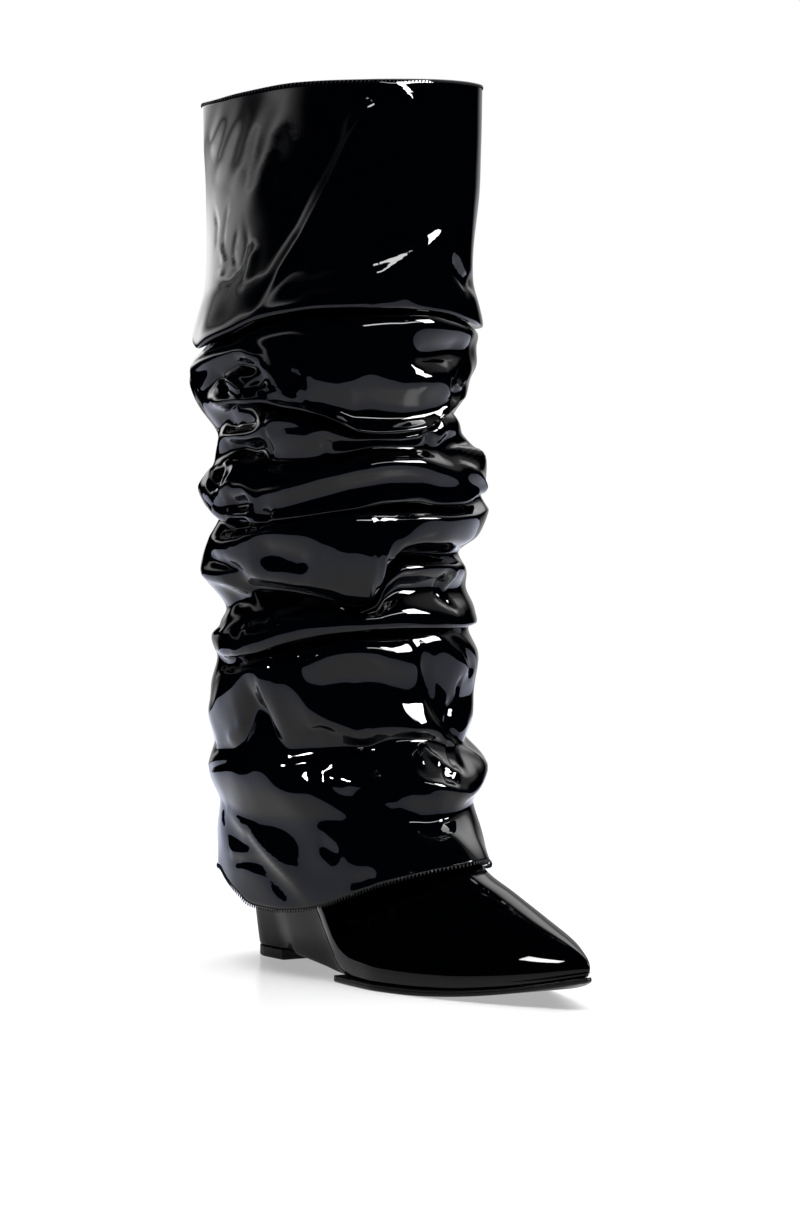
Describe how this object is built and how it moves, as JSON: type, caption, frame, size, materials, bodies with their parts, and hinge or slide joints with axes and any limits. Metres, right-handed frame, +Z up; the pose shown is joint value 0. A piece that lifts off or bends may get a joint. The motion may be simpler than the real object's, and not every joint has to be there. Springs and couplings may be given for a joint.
{
  "type": "wedge boot",
  "caption": "Tall black patent wedge boot with a pointed toe and a loose slouched sleeve shaft that hangs over a covered wedge heel.",
  "frame": {"origin": "middle of the top lift's underside, on the floor", "axes": "+X to the toe, +Y to the inner side of the foot, +Z up the shaft"},
  "size_m": [0.2698, 0.1345, 0.411],
  "materials": {
    "outsole": "black moulded rubber, satin edge",
    "heel_top_lift": "black hard rubber, matt",
    "wedge_heel": "black patent cover, gloss",
    "insole": "dark sock lining, matt",
    "upper": "black patent, high gloss",
    "sleeve_shaft": "black patent, high gloss, folded"
  },
  "bodies": {
    "root": {"outsole": "outsole", "heel_top_lift": "heel_top_lift", "wedge_heel": "wedge_heel", "insole": "insole", "upper": "upper", "sleeve_shaft": "sleeve_shaft"}
  },
  "joints": []
}
